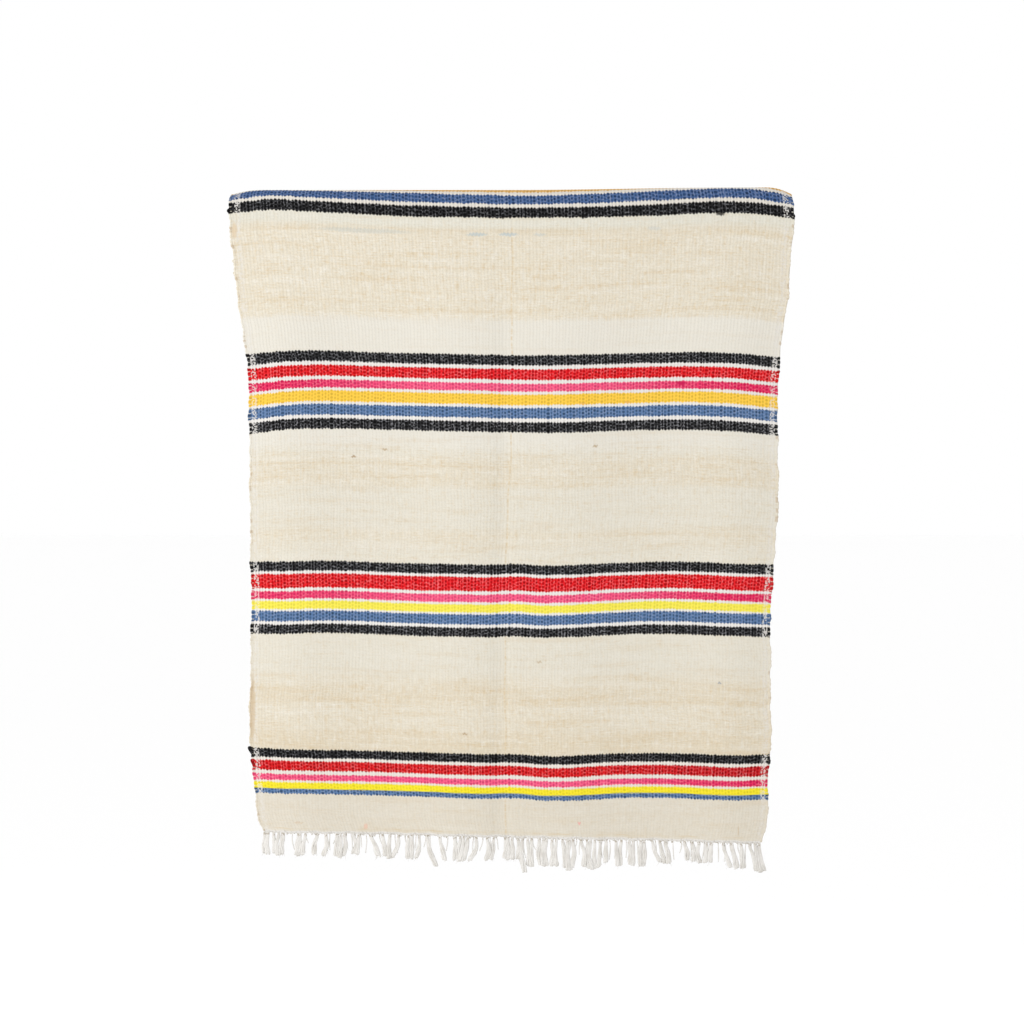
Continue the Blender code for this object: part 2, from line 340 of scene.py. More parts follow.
FOLD_SET = (
    Stripe(JET, 0.0202, 0.0110),
    Stripe(RED, 0.0235, 0.0104),
    Stripe(PINK, 0.0170, 0.0076),
    Stripe(WORN_ORANGE, 0.0272, 0.0088),
    Stripe(DEEP_BLUE, 0.0198, 0.0080),
    Stripe(JET, 0.0230, 0.0),
)
# Where each set starts along the cloth. Its pink and old red deepen towards the right edge, and towards the
# left one by the set's own share
Placed = namedtuple("Placed", "start stripes gap_colour left_share")
STRIPE_SETS = (
    Placed(-1.320, END_SET, GAP_CREAM, 1.0),
    Placed(-1.007, LEMON_SET, GAP_WHITE, 1.0),
    Placed(-0.577, WIDE_SET, GAP_WHITE, 0.6),
    Placed(-0.0994, FOLD_SET, GAP_GREY, 1.0),
    Placed(0.3935, WIDE_SET, GAP_WHITE, 1.0),
    Placed(0.8752, LEMON_SET, GAP_WHITE, 0.8),
    Placed(1.3100, END_SET, GAP_CREAM, 0.15),
)
# How deep each colour's stitches look, by painted shade in their middles, and how much the wool between them
# shines, by a painted highlight
StitchShadeAndGlint = namedtuple("StitchShadeAndGlint", "depth shine")
STITCH_SHADE_AND_GLINT = {
    JET: StitchShadeAndGlint(1.0, 0.36),
    BLACK: StitchShadeAndGlint(1.0, 0.54),
    RED: StitchShadeAndGlint(0.86, 0.36),
    OLD_RED: StitchShadeAndGlint(0.90, 0.34),
    PINK: StitchShadeAndGlint(0.48, 0.40),
    ORANGE: StitchShadeAndGlint(0.60, 0.10),
    WORN_ORANGE: StitchShadeAndGlint(0.60, 0.10),
    LEMON: StitchShadeAndGlint(0.55, 0.05),
    BRIGHT_LEMON: StitchShadeAndGlint(0.55, 0.05),
    BLUE: StitchShadeAndGlint(1.0, 0.44),
    DEEP_BLUE: StitchShadeAndGlint(1.0, 0.44),
}
STRIPE_BLUR = 0.0008                       # half the softness of a colour's edge
SET_MARGIN = 0.004                         # ground above and below a set that its ramps still cover
TOWARDS_ENDS = {PINK: DEEP_PINK, OLD_RED: DEEP_RED}

# The ground's shades, one lot of yarn after another down the cloth, and how mottled each lot is
Shade = namedtuple("Shade", "along colour mottle")
GROUND = (
    Shade(-1.410, GREIGE, 0.5),
    Shade(-1.190, TAN_CREAM, 1.0),
    Shade(-1.080, TAN_CREAM, 0.9),
    Shade(-1.070, LIGHT_CREAM, 0.4),
    Shade(-0.800, LIGHT_CREAM, 0.5),
    Shade(-0.785, TAN_CREAM, 0.9),
    Shade(-0.380, DEEP_CREAM, 1.0),
    Shade(-0.365, TAN_CREAM, 0.9),
    Shade(-0.120, PALE_GREIGE, 0.6),
    Shade(0.101, PALE_GREIGE, 0.6),
    Shade(0.110, DEEP_CREAM, 0.8),
    Shade(0.123, TAN_CREAM, 1.0),
    Shade(0.309, TAN_CREAM, 1.0),
    Shade(0.316, LIGHT_CREAM, 0.25),
    Shade(0.560, LIGHT_CREAM, 0.25),
    Shade(0.600, LIGHT_CREAM, 0.5),
    Shade(0.622, CREAM, 0.8),
    Shade(0.640, TAN_CREAM, 1.0),
    Shade(0.696, TAN_CREAM, 0.9),
    Shade(0.706, CREAM, 0.6),
    Shade(0.792, CREAM, 0.6),
    Shade(0.803, TAN_CREAM, 0.9),
    Shade(0.857, CREAM, 0.7),
    Shade(1.120, CREAM, 0.5),
    Shade(1.150, TAN_CREAM, 0.8),
    Shade(1.188, DEEP_CREAM, 1.0),
    Shade(1.206, TAN_CREAM, 1.0),
    Shade(1.256, TAN_CREAM, 0.9),
    Shade(1.268, DEEP_CREAM, 1.0),
    Shade(1.310, DEEP_CREAM, 0.9),
    Shade(1.425, GREIGE, 0.5),
)

# Stains, bled dye and thick spots: place across from mid width and along from the crest, half sizes, colour
Spot = namedtuple("Spot", "across along half_width half_height colour strength")
SPOTS = (
    Spot(0.392, 0.464, 0.012, 0.0055, dye(205, 30, 85), 0.85),
    Spot(0.268, 0.505, 0.009, 0.0030, dye(238, 178, 96), 0.7),
    Spot(0.165, 0.505, 0.009, 0.0030, dye(240, 184, 104), 0.6),
    Spot(-0.362, 0.634, 0.006, 0.0030, dye(176, 148, 112), 0.8),
    Spot(-0.290, 0.616, 0.007, 0.0028, dye(190, 164, 128), 0.7),
    Spot(0.194, 0.604, 0.007, 0.0030, dye(184, 160, 122), 0.7),
    Spot(-0.106, 1.264, 0.007, 0.0030, dye(184, 156, 118), 0.7),
    Spot(0.065, 1.096, 0.007, 0.0028, dye(192, 168, 132), 0.6),
    Spot(0.479, 1.149, 0.005, 0.0026, dye(150, 156, 166), 0.7),
    Spot(0.157, 1.464, 0.0040, 0.0040, dye(240, 168, 160), 0.7),
    Spot(-0.334, 1.484, 0.0050, 0.0075, dye(238, 196, 174), 0.7),
    Spot(-0.488, 1.478, 0.0120, 0.0025, dye(214, 186, 152), 0.5),
    Spot(0.522, 1.482, 0.0016, 0.0130, dye(206, 182, 148), 0.6),
    Spot(-0.340, 0.114, 0.120, 0.0060, dye(200, 205, 200), 0.45),
    Spot(-0.078, 0.1160, 0.026, 0.0044, dye(180, 198, 206), 0.60),
    Spot(-0.006, 0.1155, 0.024, 0.0044, dye(180, 198, 206), 0.60),
    Spot(0.066, 0.1160, 0.016, 0.0036, dye(196, 205, 205), 0.45),
    Spot(0.330, 0.106, 0.018, 0.0050, dye(202, 208, 207), 0.40),
    Spot(-0.636, 0.118, 0.007, 0.0200, dye(226, 204, 172), 0.70),
    Spot(-0.594, 1.215, 0.007, 0.0800, dye(206, 180, 142), 0.60),
    Spot(-0.018, 0.0760, 0.007, 0.0045, JET, 0.85),
    Spot(0.166, 0.0760, 0.007, 0.0045, JET, 0.85),
    Spot(0.481, 0.0785, 0.011, 0.0060, JET, 0.90),
)


class Finish:
    """Builds one material's nodes: each method adds a node, wires it and gives back its output."""

    def __init__(self, name):
        self.material = bpy.data.materials.new(name)
        self.material.use_nodes = True
        self.tree = self.material.node_tree
        self.surface = self.tree.nodes["Principled BSDF"]

    def feed(self, socket, value):
        if isinstance(value, bpy.types.NodeSocket):
            self.tree.links.new(value, socket)
        elif isinstance(value, tuple) and len(value) == 3 and socket.type == "RGBA":
            socket.default_value = (*value, 1.0)
        else:
            socket.default_value = value

    def node(self, kind, *values):
        node = self.tree.nodes.new("ShaderNode" + kind)
        for socket, value in zip(node.inputs, values):
            self.feed(socket, value)
        return node

    def math(self, operation, first, second=0.0, third=0.0):
        node = self.node("Math", first, second, third)
        node.operation = operation
        return node.outputs[0]

    def plus(self, first, second):
        return self.math("ADD", first, second)

    def minus(self, first, second):
        return self.math("SUBTRACT", first, second)

    def times(self, first, second):
        return self.math("MULTIPLY", first, second)

    def times_plus(self, first, second, third):
        return self.math("MULTIPLY_ADD", first, second, third)

    def cell(self, value, size):
        """The number of the cell of this size that the value lies in."""
        return self.math("FLOOR", self.math("DIVIDE", value, size))

    def smooth(self, value, low, high, start=0.0, end=1.0):
        """A soft step from start at low to end at high."""
        node = self.node("MapRange", value, low, high, start, end)
        node.interpolation_type = "SMOOTHSTEP"
        return node.outputs[0]

    def spread(self, value, low, high):
        """Value as a share of the way from low to high."""
        return self.node("MapRange", value, low, high, 0.0, 1.0).outputs[0]

    def attribute(self, name, output="Vector"):
        node = self.node("Attribute")
        node.attribute_name = name
        return node.outputs[output]

    def place(self):
        return self.node("TexCoord").outputs["Object"]

    def parts(self, vector):
        return self.node("SeparateXYZ", vector).outputs

    def vector(self, x, y=0.0, z=0.0):
        return self.node("CombineXYZ", x, y, z).outputs[0]

    def noise(self, vector, scale=1.0, detail=2.0, roughness=0.5):
        node = self.node("TexNoise", vector)
        node.inputs["Scale"].default_value = scale
        node.inputs["Detail"].default_value = detail
        node.inputs["Roughness"].default_value = roughness
        return node.outputs[0]

    def streaks(self, across, across_scale, along, along_scale, detail, layer=0.0):
        """Noise with one scale across the cloth and another along it."""
        place = self.vector(self.times(across, across_scale), self.times(along, along_scale), layer)
        return self.noise(place, 1.0, detail)

    def chance(self, vector):
        """An even random number for each whole cell of the vector."""
        node = self.node("TexWhiteNoise", vector)
        node.noise_dimensions = "2D"
        return node.outputs[0]

    def mix(self, share, first, second, blend="MIX"):
        node = self.node("Mix")
        node.data_type = "RGBA"
        node.blend_type = blend
        node.clamp_factor = True
        self.feed(node.inputs[0], share)
        self.feed(node.inputs[6], first)
        self.feed(node.inputs[7], second)
        return node.outputs[2]

    def shade(self, colour, amount):
        """The colour made lighter or darker by the same amount in red, green and blue."""
        return self.mix(1.0, colour, self.vector(amount, amount, amount), "MULTIPLY")

    def ramp(self, share, stops, stepped=False):
        """A colour ramp through the stops, each a place, a colour and how much it covers."""
        node = self.node("ValToRGB", share)
        if stepped:
            node.color_ramp.interpolation = "CONSTANT"
        elements = node.color_ramp.elements
        while len(elements) < len(stops):
            elements.new(1.0)
        for element, (place, _colour, _cover) in zip(elements, stops):
            element.position = min(max(place, 0.0), 1.0)
        for element, (_place, colour, cover) in zip(elements, stops):
            element.color = (*colour, cover)
        return node.outputs[0], node.outputs[1]

    def bump(self, height, distance, strength=1.0):
        node = self.node("Bump")
        node.inputs["Strength"].default_value = strength
        node.inputs["Distance"].default_value = distance
        self.feed(node.inputs["Height"], height)
        return node.outputs[0]

    def wool(self, colour, normal, roughness, sheen):
        surface = self.surface
        self.feed(surface.inputs["Base Color"], colour)
        self.feed(surface.inputs["Normal"], normal)
        surface.inputs["Roughness"].default_value = roughness
        surface.inputs["Specular IOR Level"].default_value = 0.06
        surface.inputs["Sheen Weight"].default_value = sheen
        surface.inputs["Sheen Roughness"].default_value = 0.6
        return self.material


def set_reach(placed):
    """The stretch of the cloth that the ramps of one set of stripes cover."""
    length = sum(stripe.width + stripe.gap for stripe in placed.stripes)
    return placed.start - SET_MARGIN, placed.start + length + SET_MARGIN


def stripe_stops(placed):
    """Ramp stops with each stripe's colour, and how much of the ground it covers."""
    low, high = set_reach(placed)
    stops = []
    before = (placed.stripes[0].colour, 0.0)
    at = placed.start
    for number, stripe in enumerate(placed.stripes):
        stops.append((at - STRIPE_BLUR, *before))
        stops.append((at + STRIPE_BLUR, stripe.colour, 1.0))
        at += stripe.width
        before = (stripe.colour, 1.0)
        last = number == len(placed.stripes) - 1
        if stripe.gap or last:
            after = (stripe.colour, 0.0) if last else (placed.gap_colour, 1.0)
            stops.append((at - STRIPE_BLUR, *before))
            stops.append((at + STRIPE_BLUR, *after))
            at += stripe.gap
            before = after
    return [((place - low) / (high - low), colour, cover) for place, colour, cover in stops]


def half_stops(placed):
    """Ramp stops of 0 over each stripe's upper half and 1 over its lower half, with how strong the stripe's
    painted stitch shade and painted highlight are.
    """
    low, high = set_reach(placed)
    stops = []
    at = placed.start
    above = 2.0 * SET_MARGIN
    for stripe in placed.stripes:
        shade_and_glint = STITCH_SHADE_AND_GLINT[stripe.colour]
        stops.append(((at - above / 2 - low) / (high - low), (0.0, *shade_and_glint), 1.0))
        stops.append(((at + stripe.width / 2 - low) / (high - low), (1.0, *shade_and_glint), 1.0))
        at += stripe.width + stripe.gap
        above = stripe.gap
    return stops


def weave_finish():
    """The woven wool: mottled ground, toothed stripes, stitches of weft and ribs with painted shade and
    painted highlights, selvedge stitches and stains.
    """
    look = Finish("Woven wool")
    rib, row, edge = look.parts(look.attribute("weave"))
    hem = look.attribute("hem", "Fac")
    x = look.parts(look.place())[0]

    # One stitch of weft to a rib and a pick, in uneven upright columns
    column_wander = look.streaks(rib, 0.7, row, 5.0, 1.0)
    rib = look.times_plus(look.minus(column_wander, 0.5), RIB_WANDER, rib)
    rib_number = look.math("FLOOR", rib)
    ridge = look.math("SINE", look.times(look.math("FRACT", rib), math.pi))
    stagger = look.times(look.math("MODULO", rib_number, 2.0), 0.5)
    stagger = look.times_plus(look.chance(look.vector(rib_number, 7.5)), 0.8, stagger)
    pick_place = look.plus(look.math("DIVIDE", row, PICK), stagger)
    pick_number = look.math("FLOOR", look.plus(pick_place, 0.5))
    pick = look.math("COSINE", look.times(pick_place, 2.0 * math.pi))
    pick = look.times_plus(pick, 0.5, 0.5)
    stitch = look.times(ridge, look.times_plus(pick, 0.58, 0.42))
    stitch = look.smooth(stitch, 0.28, 0.74)
    fleck = look.chance(look.vector(rib_number, pick_number))
    half_rib = look.math("FLOOR", look.times_plus(rib, 2.0, 0.5))
    tuft_row = look.math("FLOOR", look.times(pick_place, PICK / TUFT))
    tuft = look.chance(look.vector(half_rib, tuft_row))

    # Teeth where the colours meet, one to a rib, and the wander of the rows
    row_wander = look.minus(look.noise(look.vector(x, row), 11.0, 2.0), 0.5)
    jitter = look.minus(look.chance(look.vector(rib_number, 0.5)), 0.5)
    wandering = look.times_plus(row_wander, ROW_WANDER, row)
    tooth = look.minus(0.45, look.math("POWER", ridge, 1.5))
    tooth = look.times(tooth, TOOTH)
    tooth = look.times_plus(jitter, TOOTH_JITTER, tooth)
    toothed = look.plus(wandering, tooth)

    # Ground, with slubs of darker and lighter wool
    first, last = GROUND[0].along, GROUND[-1].along
    stops = [((shade.along - first) / (last - first), shade.colour, shade.mottle) for shade in GROUND]
    ground, mottle = look.ramp(look.spread(toothed, first, last), stops)
    slub = look.streaks(x, 60.0, row, 320.0, 3.0)
    tone = look.streaks(rib, 1.3, row, 40.0, 1.0)
    band = look.streaks(x, 5.0, row, 70.0, 2.0, layer=4.0)
    tan_slub = look.smooth(slub, 0.50, 0.24, 0.0, 0.52)
    tan_band = look.smooth(band, 0.50, 0.30, 0.0, 0.32)
    tan_share = look.plus(look.smooth(tone, 0.47, 0.22, 0.0, 0.34), look.plus(tan_slub, tan_band))
    pale_slub = look.smooth(slub, 0.50, 0.74, 0.0, 0.45)
    pale_band = look.smooth(band, 0.52, 0.72, 0.0, 0.32)
    pale_share = look.plus(look.smooth(tone, 0.53, 0.78, 0.0, 0.40), look.plus(pale_slub, pale_band))
    ground = look.mix(look.times(tan_share, mottle), ground, SLUB_TAN)
    ground = look.mix(look.times(pale_share, mottle), ground, SLUB_LIGHT)
    # Random grain, and painted shade in the rib furrows: each rib is painted lighter on its ridge, twice as
    # much near the crest as lower down
    grain_and_rib_shade = look.times_plus(look.times(tuft, mottle), 0.08, 0.93)
    grain_and_rib_shade = look.times_plus(ridge, look.smooth(row, 0.30, 0.45, 0.07, 0.035), grain_and_rib_shade)
    ground = look.shade(ground, grain_and_rib_shade)

    # The crease down the middle, a thin tan line that comes and goes
    bend = look.noise(look.vector(look.times(row, 9.0)), 1.0, 1.0)
    crease = look.times_plus(look.minus(bend, 0.5), 0.012, look.smooth(row, 0.5, 0.95, 0.002, -0.013))
    off_crease = look.math("ABSOLUTE", look.minus(x, crease))
    line = look.times(look.smooth(off_crease, 0.0030, 0.0008), look.smooth(row, 0.08, 0.11))
    broken = look.smooth(look.streaks(x, 1.0, row, 120.0, 2.0), 0.38, 0.62, 0.1, 0.70)
    ground = look.mix(look.times(line, broken), ground, SLUB_TAN)

    # Dyed stripes
    towards_right = look.smooth(x, 0.15, 0.55)
    towards_left = look.smooth(x, -0.15, -0.55)
    colour = ground
    striped, stitch_shade_strength, shining = 0.0, 0.0, 0.0
    for placed in STRIPE_SETS:
        low, high = set_reach(placed)
        stops = stripe_stops(placed)
        halves = look.ramp(look.spread(wandering, low, high), half_stops(placed), stepped=True)[0]
        lower, depth, shine = look.parts(halves)
        outwards = look.times(tooth, look.times_plus(lower, 2.0, -1.0))
        share = look.spread(look.plus(wandering, outwards), low, high)
        inner_colour, cover = look.ramp(share, stops)
        end_stops = [(place, TOWARDS_ENDS.get(dyed, dyed), amount) for place, dyed, amount in stops]
        end_colour = look.ramp(share, end_stops)[0]
        towards_end = look.times_plus(towards_left, placed.left_share, towards_right)
        colour = look.mix(cover, colour, look.mix(towards_end, inner_colour, end_colour))
        striped = look.plus(striped, cover)
        stitch_shade_strength = look.times_plus(cover, depth, stitch_shade_strength)
        shining = look.times_plus(cover, shine, shining)

    # In the stripes each stitch gets painted shade in its middle, and the wool between stitches gets a
    # painted highlight, a glint. Both are stronger the darker the yarn is
    _red, green, blue = look.parts(colour)
    darkness = look.times_plus(green, -0.92, 1.0)
    darkness = look.times(darkness, look.smooth(blue, 0.25, 0.42, 1.0, 0.35))
    contrast = look.times(stitch_shade_strength, darkness)
    stitch_shade = look.times(stitch, look.times_plus(fleck, 0.48, 0.54))
    colour = look.shade(colour, look.times_plus(look.minus(0.44, stitch_shade), contrast, 1.0))
    glint = look.times(look.minus(1.0, stitch), look.times(shining, darkness))
    glint = look.times(glint, look.times_plus(look.math("POWER", tuft, 3.0), 0.52, 0.035))
    colour = look.mix(glint, colour, GLINT)

    # Bare warp shows beside the selvedge, in small specks
    inner = look.minus(edge, look.smooth(row, 0.30, 0.05, 0.0, 0.005))
    zone = look.times(look.smooth(inner, 0.005, 0.007), look.smooth(inner, 0.020, 0.016))
    showing = look.times_plus(contrast, 0.34, 0.42)
    speck_across = look.cell(edge, SPECK)
    speck_along = look.cell(look.times_plus(speck_across, SPECK_STEP, row), SPECK)
    speck = look.smooth(look.chance(look.vector(speck_across, speck_along)), 0.42, 0.58)
    colour = look.mix(look.times(look.times(zone, showing), speck), colour, GAP_WHITE)

    # Between the weft's turns at the very edge the dye is broken by ground yarn
    turn = look.math("ABSOLUTE", look.math("SINE", look.times(row, math.pi / LOOP_PITCH)))
    rim = look.smooth(edge, 0.006, 0.003)
    bare = look.times(rim, look.smooth(turn, 0.40, 0.10, 0.0, 0.75))
    colour = look.mix(bare, colour, ground)
    worn = look.smooth(look.streaks(x, 1.0, row, 60.0, 2.0), 0.55, 0.66)
    soiled = look.times(look.times(rim, worn), look.minus(1.0, striped))
    colour = look.mix(look.times(soiled, 0.6), colour, TAN)

    # Stains and specks
    for spot in SPOTS:
        offset_x = look.math("DIVIDE", look.minus(x, spot.across), spot.half_width)
        offset_y = look.math("DIVIDE", look.minus(toothed, spot.along), spot.half_height)
        reach = look.times_plus(offset_y, offset_y, look.times(offset_x, offset_x))
        colour = look.mix(look.smooth(reach, 1.3, 0.2, 0.0, spot.strength), colour, spot.colour)

    # Along each hem a darker thread, a pale edge, and small shadows where the warp leaves the weave
    thread = look.times(look.smooth(hem, 0.0065, 0.0080), look.smooth(hem, 0.0110, 0.0095))
    patchy = look.smooth(look.noise(look.vector(look.times(x, 14.0)), 1.0, 2.0), 0.42, 0.62, 0.0, 0.45)
    colour = look.mix(look.times(thread, patchy), colour, SLUB_TAN)
    colour = look.mix(look.smooth(hem, 0.0040, 0.0020, 0.0, 0.8), colour, COTTON)
    hole = look.times(look.smooth(hem, 0.0050, 0.0036), look.smooth(ridge, 0.70, 0.35))
    open_hole = look.smooth(look.chance(look.vector(half_rib, 3.5)), 0.50, 0.80, 0.0, 0.25)
    colour = look.mix(look.times(hole, open_hole), colour, HEM_SHADOW)

    # Relief
    hair = look.noise(look.place(), 2600.0, 2.0)
    height = look.times_plus(stitch, 0.35, look.times(slub, 0.6))
    height = look.times_plus(hair, 0.25, height)
    return look.wool(colour, look.bump(height, 0.0007), 0.95, 0.04)


def yarn_finish():
    """Undyed cotton warp, a little uneven in shade, with painted shade in patches just below the hem."""
    look = Finish("Cotton warp")
    hem = look.attribute("hem", "Fac")
    place = look.place()
    x, y, z = look.parts(place)
    cloud = look.noise(place, 45.0, 2.0)
    colour = look.mix(look.smooth(cloud, 0.35, 0.7), COTTON, COTTON_SHADE)
    fibre = look.noise(look.vector(look.times(x, 1500.0), look.times(y, 1500.0),
                                   look.times(z, 420.0)), 1.0, 3.0)
    colour = look.mix(look.smooth(fibre, 0.5, 0.75, 0.0, 0.35), colour, COTTON_SHADE)
    # Painted shade in patches from about 1 to 12 mm below the hem, where the locks and warp turns leave the
    # weave
    root_shade_patches = look.smooth(look.noise(place, 260.0, 2.0), 0.46, 0.60, 0.0, 1.0)
    root = look.times(look.smooth(hem, 0.012, 0.005), look.smooth(hem, 0.001, 0.003))
    colour = look.mix(look.times(root, root_shade_patches), colour, ROOT_SHADE)
    return look.wool(colour, look.bump(fibre, 0.0006), 0.95, 0.1)


def deselect():
    for thing in bpy.context.selected_objects:
        thing.select_set(False)


def apply_modifiers(thing):
    deselect()
    thing.select_set(True)
    bpy.context.view_layer.objects.active = thing
    for modifier in list(thing.modifiers):
        bpy.ops.object.modifier_apply(modifier=modifier.name)
    thing.select_set(False)


def column_places():
    """Places across the cloth of the columns of the mesh, ribs a little unevenly spread."""
    share = np.linspace(-1.0, 1.0, RIBS * COLUMNS_PER_RIB + 1)
    ease = 1.0 - share ** 2
    return share + ease * (0.004 * np.sin(9.7 * share + 0.4) + 0.001 * np.sin(31.0 * share))


def row_places(across):
    """Distances along the cloth of the mesh's rows, from the back hem to the front hem, for each column."""
    back = hem_along("back", across)
    front = hem_along("front", across)
    rising = [back + HEM_ROW + (-QUARTER_TURN - back - HEM_ROW) * i / BACK_ROWS for i in range(BACK_ROWS)]
    over = [-QUARTER_TURN + 2 * QUARTER_TURN * i / FOLD_ROWS + 0.0 * across for i in range(FOLD_ROWS)]
    fall = front - HEM_ROW - QUARTER_TURN
    falling = [QUARTER_TURN + fall * i / FRONT_ROWS for i in range(FRONT_ROWS + 1)]
    return np.stack([back, *rising, *over, *falling, front])


def make_cloth(wool):
    """The woven sheet, ribbed along its length."""
    columns = RIBS * COLUMNS_PER_RIB
    rows = BACK_ROWS + FOLD_ROWS + FRONT_ROWS + 2
    deselect()
    bpy.ops.mesh.primitive_grid_add(x_subdivisions=columns, y_subdivisions=rows, size=2.0)
    cloth = bpy.context.object
    cloth.name = "woven_rug"
    mesh = cloth.data
    flat = vertex_places(mesh)
    column = np.rint((flat[:, 0] + 1.0) / 2.0 * columns).astype(int)
    row = np.rint((flat[:, 1] + 1.0) / 2.0 * rows).astype(int)
    places = column_places()
    across = places[column]
    along = row_places(places)[row, column]
    points = hung_points(across, along)
    mesh.vertices.foreach_set("co", points.ravel())
    set_weave(mesh, column / COLUMNS_PER_RIB, woven_row(points, across, along), edge_distance(across))
    set_hem(mesh, hem_distance(across, along))

    ridges = cloth.vertex_groups.new(name="ridges")
    for step, weight in enumerate(RIB_THICKNESS):
        ridges.add(np.nonzero(column % COLUMNS_PER_RIB == step)[0].tolist(), weight, "REPLACE")
    wall = cloth.modifiers.new("Thickness", "SOLIDIFY")
    wall.thickness = THICKNESS
    wall.offset = 0.0
    wall.vertex_group = "ridges"
    wall.thickness_vertex_group = THIN_SHARE
    apply_modifiers(cloth)
    cloth.vertex_groups.clear()
    mesh = cloth.data
    mesh.shade_smooth()
    mesh.materials.append(wool)
    return cloth


def yarn_object(name, strands, sides, material):
    """Tubes along centrelines, each a list of points and a list of radii, made into one mesh."""
    curve = bpy.data.curves.new(name, "CURVE")
    curve.dimensions = "3D"
    curve.bevel_depth = 1.0
    curve.bevel_resolution = max(sides // 2 - 2, 0)
    curve.use_fill_caps = True
    for points, radii in strands:
        spline = curve.splines.new("POLY")
        spline.points.add(len(points) - 1)
        spline.points.foreach_set("co", np.column_stack([points, np.ones(len(points))]).ravel())
        spline.points.foreach_set("radius", np.asarray(radii, float))
    yarn = bpy.data.objects.new(name, curve)
    bpy.context.scene.collection.objects.link(yarn)
    deselect()
    yarn.select_set(True)
    bpy.context.view_layer.objects.active = yarn
    bpy.ops.object.convert(target="MESH")
    yarn = bpy.context.object
    bpy.ops.object.mode_set(mode="EDIT")
    bpy.ops.mesh.select_all(action="SELECT")
    bpy.ops.mesh.remove_doubles(threshold=0.00001)
    bpy.ops.mesh.normals_make_consistent(inside=False)
    bpy.ops.object.mode_set(mode="OBJECT")
    yarn.data.shade_smooth()
    yarn.data.materials.clear()
    yarn.data.materials.append(material)
    yarn.select_set(False)
    return yarn


# The cord along each selvedge
CORD_RADIUS = 0.0019             # between two turns of weft
TURN_SWELL = 0.0007              # what a turn of weft adds to it
UNEVEN_SWELL = 0.0005            # what chance adds
TURN_REACH = 0.0013              # how far a turn stands out
CORD_INSET = 0.0022              # how far inside the cloth's edge the cord's middle lies
CORD_STEP = 0.0026
UNEVEN_PLACES = 260
RIB_TOP = 0.5                    # where on a rib the cord's yarn is taken to lie
FAR = 1.0                        # a distance past which neither edge nor hem changes the colour

# Turns of weft that stand out from a selvedge: side, drop of its middle below the crest, how far it reaches
# out, its length, how far its point lies above its middle, its radius, and how many turns lie one in another
SNAG_POINTS = 9
SNAG_INSET = 0.0020
Snag = namedtuple("Snag", "side drop reach length rise radius turns")
SNAGS = (
    Snag(-1, 0.037, 0.0050, 0.0120, 0.000, 0.0020, 3),
    Snag(-1, 0.163, 0.0052, 0.0090, 0.001, 0.0012, 1),
    Snag(-1, 0.190, 0.0040, 0.0070, -0.001, 0.0011, 1),
    Snag(-1, 0.142, 0.0022, 0.0060, 0.000, 0.0011, 1),
    Snag(-1, 1.291, 0.0085, 0.0170, 0.007, 0.0021, 5),
    Snag(-1, 1.319, 0.0060, 0.0150, 0.006, 0.0020, 4),
    Snag(-1, 0.905, 0.0030, 0.0080, 0.000, 0.0013, 1),
    Snag(1, 0.050, 0.0036, 0.0110, 0.000, 0.0020, 2),
    Snag(1, 0.023, 0.0020, 0.0090, 0.000, 0.0018, 1),
    Snag(1, 0.420, 0.0026, 0.0080, 0.001, 0.0015, 1),
    Snag(1, 0.986, 0.0030, 0.0080, -0.001, 0.0014, 1),
    Snag(1, 1.288, 0.0030, 0.0110, 0.001, 0.0018, 2),
    Snag(1, 1.316, 0.0024, 0.0110, 0.002, 0.0018, 2),
)


def snag_loops(side):
    """Centrelines, radii and woven rows of one side's standing turns of weft, each turn in one colour."""
    loops = []
    for snag in SNAGS:
        if snag.side != side:
            continue
        share = np.linspace(0.0, 1.0, SNAG_POINTS)
        bulge = np.sin(np.pi * share)
        across = np.full(SNAG_POINTS, float(side))
        middle = np.full(SNAG_POINTS, snag.drop + BEND_SLACK)
        row = woven_row(hung_points(across, middle), across, middle)
        for turn in range(snag.turns):
            size = 1.0 - turn / snag.turns
            points = hung_points(across, middle + size * snag.length * (share - 0.5))
            points[:, 0] += side * (size * snag.reach * bulge - SNAG_INSET)
            points[:, 2] += size * snag.rise * bulge
            loops.append((points, snag.radius * (0.7 + 0.3 * bulge), row))
    return loops


def make_selvedge(name, side, wool):
    """The corded edge: thicker warp wrapped by the weft's turns, which stand out as small bumps."""
    steps = int((FRONT_DROP + BACK_DROP) / CORD_STEP)
    along = np.linspace(hem_along("back", side), hem_along("front", side), steps)
    across = np.full(steps, float(side))
    points = hung_points(across, along)
    row = woven_row(points, across, along)
    turn = np.abs(np.sin(np.pi * row / LOOP_PITCH))
    chance = np.random.default_rng(7 + side)
    places = np.linspace(along[0], along[-1], UNEVEN_PLACES)
    lift = np.interp(along, places, chance.uniform(0.0, 1.0, UNEVEN_PLACES))
    points[:, 0] += side * (TURN_REACH * turn * lift - CORD_INSET)
    radii = CORD_RADIUS + TURN_SWELL * turn + UNEVEN_SWELL * lift
    snags = snag_loops(side)
    yarns = [(points, radii, row), *snags]
    selvedge = yarn_object(name, [(line, thickness) for line, thickness, _row in yarns], 8, wool)
    centres = np.concatenate([line for line, _thickness, _row in yarns])
    rows = np.concatenate([line_row for _line, _thickness, line_row in yarns])
    tree = kdtree.KDTree(len(centres))
    for number, point in enumerate(centres):
        tree.insert(point, number)
    tree.balance()
    nearest = [tree.find(vertex.co)[1] for vertex in selvedge.data.vertices]
    count = len(nearest)
    # The standing turns keep their colour, as cloth far from the edge does
    inside = np.where(np.asarray(nearest) < steps, 0.0, FAR)
    set_weave(selvedge.data, np.full(count, RIB_TOP), rows[nearest], inside)
    set_hem(selvedge.data, np.full(count, FAR))
    return selvedge


